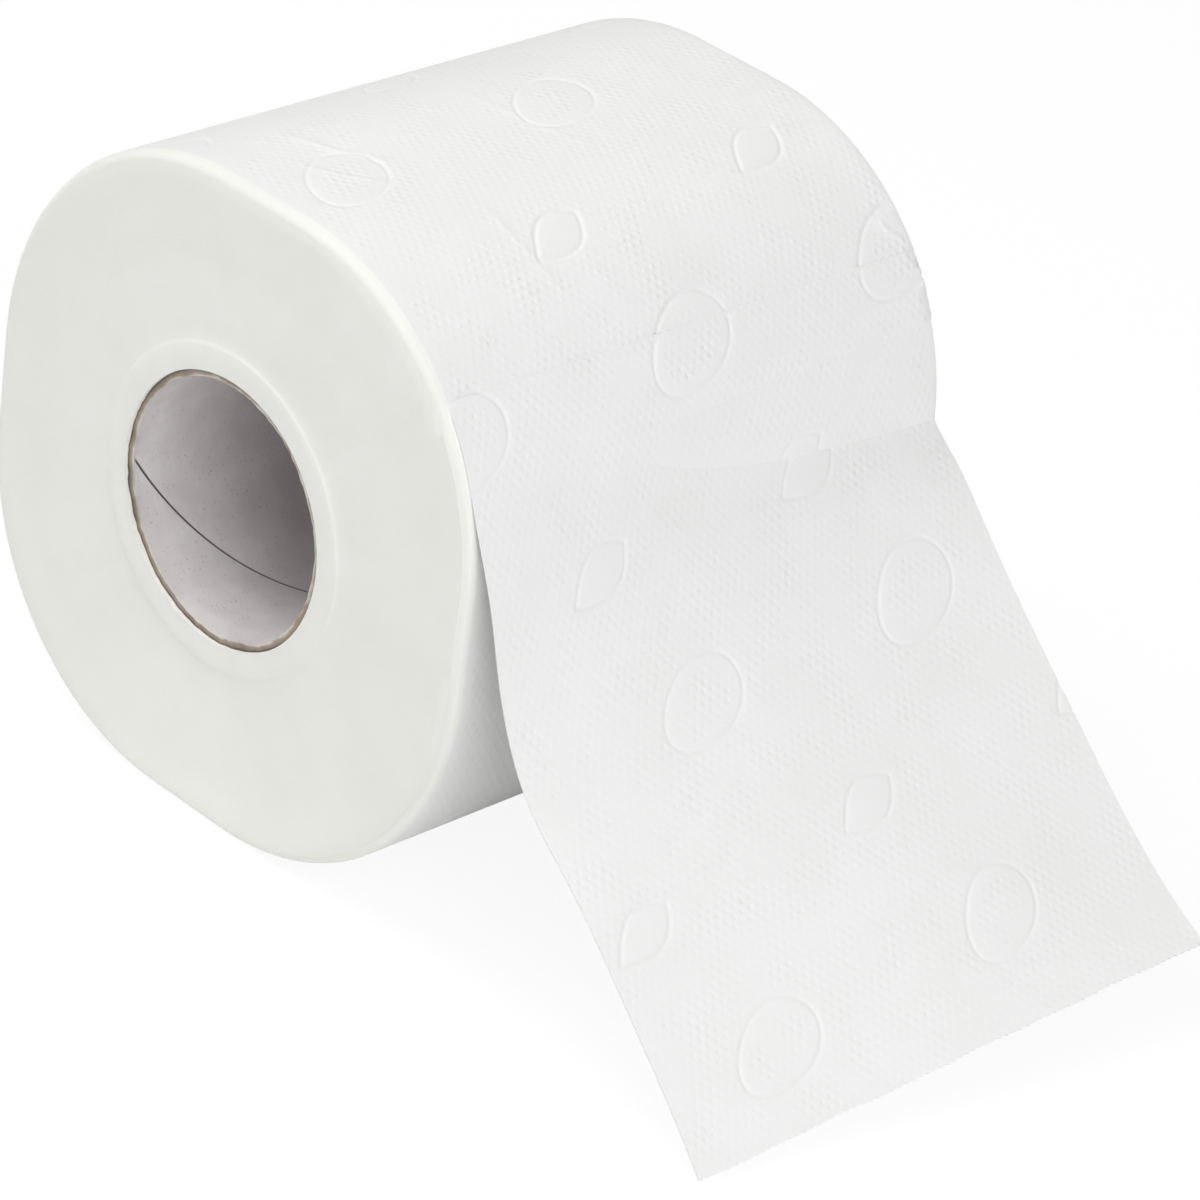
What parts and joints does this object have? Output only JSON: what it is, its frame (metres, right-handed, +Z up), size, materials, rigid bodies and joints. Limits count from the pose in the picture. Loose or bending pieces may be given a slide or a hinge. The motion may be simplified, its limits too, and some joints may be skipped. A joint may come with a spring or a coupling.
{
  "type": "toilet paper roll",
  "caption": "Soft roll of embossed toilet paper on a cardboard core, resting on its flat spot with the loose end hanging off one side.",
  "frame": {"origin": "middle of the core's bore, on its axis", "axes": "+Y along the core's bore, away from the end that the picture shows; +X towards the loose end; +Z up"},
  "size_m": [0.1782, 0.1006, 0.109],
  "materials": {
    "cardboard": "matt grey recycled board",
    "tissue": "soft matt white, embossed"
  },
  "bodies": {
    "root": {"core_tube": "cardboard", "wound_paper": "tissue"}
  },
  "joints": []
}
